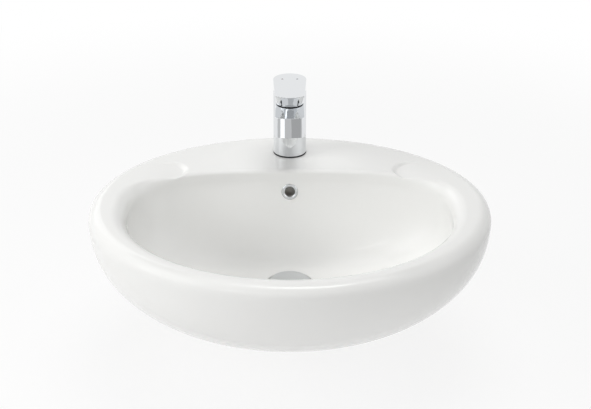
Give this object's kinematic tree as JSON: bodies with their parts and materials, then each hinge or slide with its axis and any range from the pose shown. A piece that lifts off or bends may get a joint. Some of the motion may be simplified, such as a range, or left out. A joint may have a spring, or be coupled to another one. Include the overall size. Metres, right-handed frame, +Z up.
{
  "type": "semi recessed wash basin with mixer tap",
  "caption": "Oval semi recessed ceramic wash basin with rolled rim, tap deck and soap ledges, fitted with a single lever mixer tap, overflow ring and push waste.",
  "frame": {"origin": "middle of the bearing lip at the back of the basin, on the face that stands on the worktop", "axes": "+X to the user's right, +Y towards the wall, +Z up; z = 0 is the worktop's top"},
  "size_m": [0.56, 0.4821, 0.366],
  "materials": {
    "vitreous_china": "white vitreous china, sprayed and fired gloss glaze, bare clay on the bearing lip",
    "chrome_plate": "polished brass casting under bright nickel and chrome plate",
    "brass": "machined brass, left bare",
    "steel": "turned or stamped stainless steel",
    "black_rubber": "moulded EPDM rubber, matt black",
    "white_rubber": "soft white silicone washer",
    "white_plastic": "moulded acetal, natural white",
    "grey_plastic": "moulded glass filled nylon, grey",
    "alumina": "sintered and lapped alumina",
    "hot_index": "pressed in red acrylic dot",
    "cold_index": "pressed in blue acrylic dot"
  },
  "bodies": {
    "basin": {"basin_body": "vitreous_china", "overflow_ring": "chrome_plate", "waste_body": "chrome_plate", "waste_upper_seal": "white_rubber", "waste_lower_seal": "black_rubber", "waste_washer": "white_plastic", "waste_backnut": "brass", "plug_guide": "brass", "plug_spring": "steel", "tap_body": "chrome_plate", "base_gasket": "black_rubber", "mounting_stud": "steel", "rubber_horseshoe": "black_rubber", "clamp_plate": "steel", "clamp_nut": "brass", "aerator_housing": "chrome_plate", "aerator_insert": "white_plastic", "aerator_seal": "black_rubber", "cartridge_seals": "black_rubber", "cartridge_base": "white_plastic", "fixed_disc": "alumina", "cartridge_housing": "white_plastic", "cartridge_nut": "brass", "cap_dome": "chrome_plate"},
    "plug": {"plug_cap": "chrome_plate", "plug_seal": "black_rubber", "plug_stem": "brass", "stem_catch": "brass"},
    "swivel": {"lever_carriage": "grey_plastic", "pivot_pin": "steel"},
    "lever": {"handle": "chrome_plate", "lever_stem": "steel", "handle_screw": "steel", "hot_dot": "hot_index", "cold_dot": "cold_index"},
    "disc": {"moving_disc": "alumina", "disc_carrier": "grey_plastic"}
  },
  "joints": [
    {"name": "lever_turn", "type": "hinge", "parent": "basin", "child": "swivel", "pos_m": [0, -0.063, 0.118], "axis": [0, 0, 1], "range_deg": [-45, 45]},
    {"name": "lever_lift", "type": "hinge", "parent": "swivel", "child": "lever", "pos_m": [0, -0.063, 0.118], "axis": [-1, 0, 0], "range_deg": [0, 20]},
    {"name": "disc_slide", "type": "slide", "parent": "swivel", "child": "disc", "axis": [0, -1, 0], "range_m": [0, 0.0043]},
    {"name": "plug_travel", "type": "slide", "parent": "basin", "child": "plug", "axis": [0, 0, 1], "range_m": [0, 0.009], "deforming": ["plug_spring"]}
  ],
  "couplings": [
    {"joint": "disc_slide", "follows": "lever_lift", "m_per_rad": 0.01175}
  ]
}
